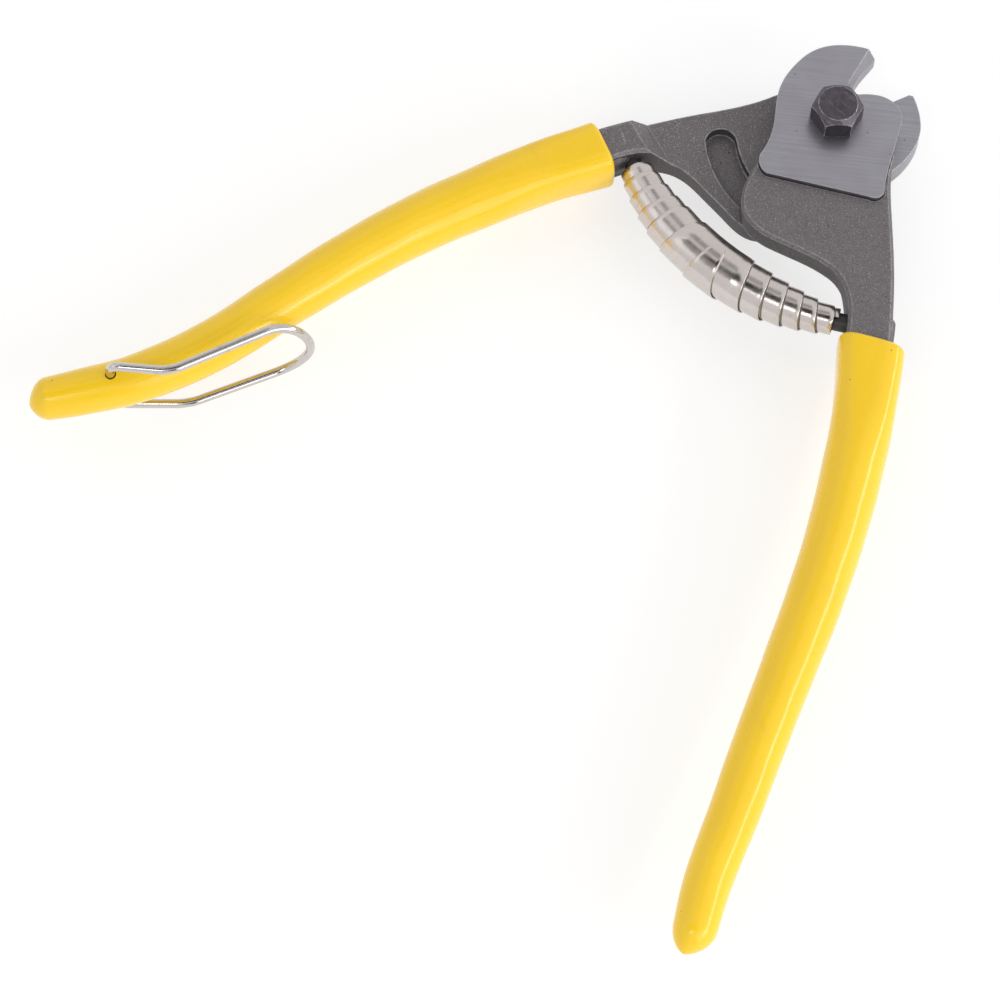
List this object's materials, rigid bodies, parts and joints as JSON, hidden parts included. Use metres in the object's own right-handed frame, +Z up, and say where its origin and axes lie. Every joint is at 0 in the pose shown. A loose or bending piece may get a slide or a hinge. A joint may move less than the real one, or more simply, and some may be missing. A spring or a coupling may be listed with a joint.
{
  "type": "nippers",
  "caption": "Spring-opened hand nippers with hooked bypass blades on a pivot bolt, plastic-dipped handles, a coiled volute spring and a swinging wire latch.",
  "frame": {"origin": "on the pivot axis at the flat threaded end of the pivot bolt", "axes": "+Z up along the pivot axis to the bolt head, +Y forward through the open mouth, handles back along -Y, front lever's handle on +X"},
  "size_m": [0.1758, 0.1738, 0.0241],
  "materials": {
    "lever_steel": "blasted and phosphated, edges worn light",
    "blade_steel": "ground, fine straight grain",
    "black_oxide": "black oxide, chamfer rims worn bright",
    "nylon": "satin",
    "pin_steel": "ground",
    "spring_nickel": "polished nickel",
    "grip_vinyl": "satin-gloss dipped vinyl",
    "bail_nickel": "bright nickel plate"
  },
  "bodies": {
    "front_lever": {"lever_front": "lever_steel", "blade_front": "blade_steel", "pivot_bolt": "black_oxide", "pivot_nut": "black_oxide", "nut_lock_ring": "nylon", "guide_pin": "pin_steel", "spring_peg_front": "pin_steel", "volute_spring": "spring_nickel", "grip_front": "grip_vinyl"},
    "rear_lever": {"lever_rear": "lever_steel", "blade_rear": "blade_steel", "spring_peg_rear": "pin_steel", "grip_rear": "grip_vinyl"},
    "bail": {"latch_bail": "bail_nickel"}
  },
  "joints": [
    {"name": "jaw_pivot", "type": "hinge", "parent": "front_lever", "child": "rear_lever", "pos_m": [0, 0, 0], "axis": [0, 0, 1], "range_deg": [0, 48], "stiffness_Nm_per_rad": 0.6, "springref_deg": -34.38, "deforming": ["volute_spring"]},
    {"name": "bail_swing", "type": "hinge", "parent": "rear_lever", "child": "bail", "pos_m": [-0.07481, -0.13862, 0], "axis": [0, 0, 1], "range_deg": [-112, 5]}
  ]
}
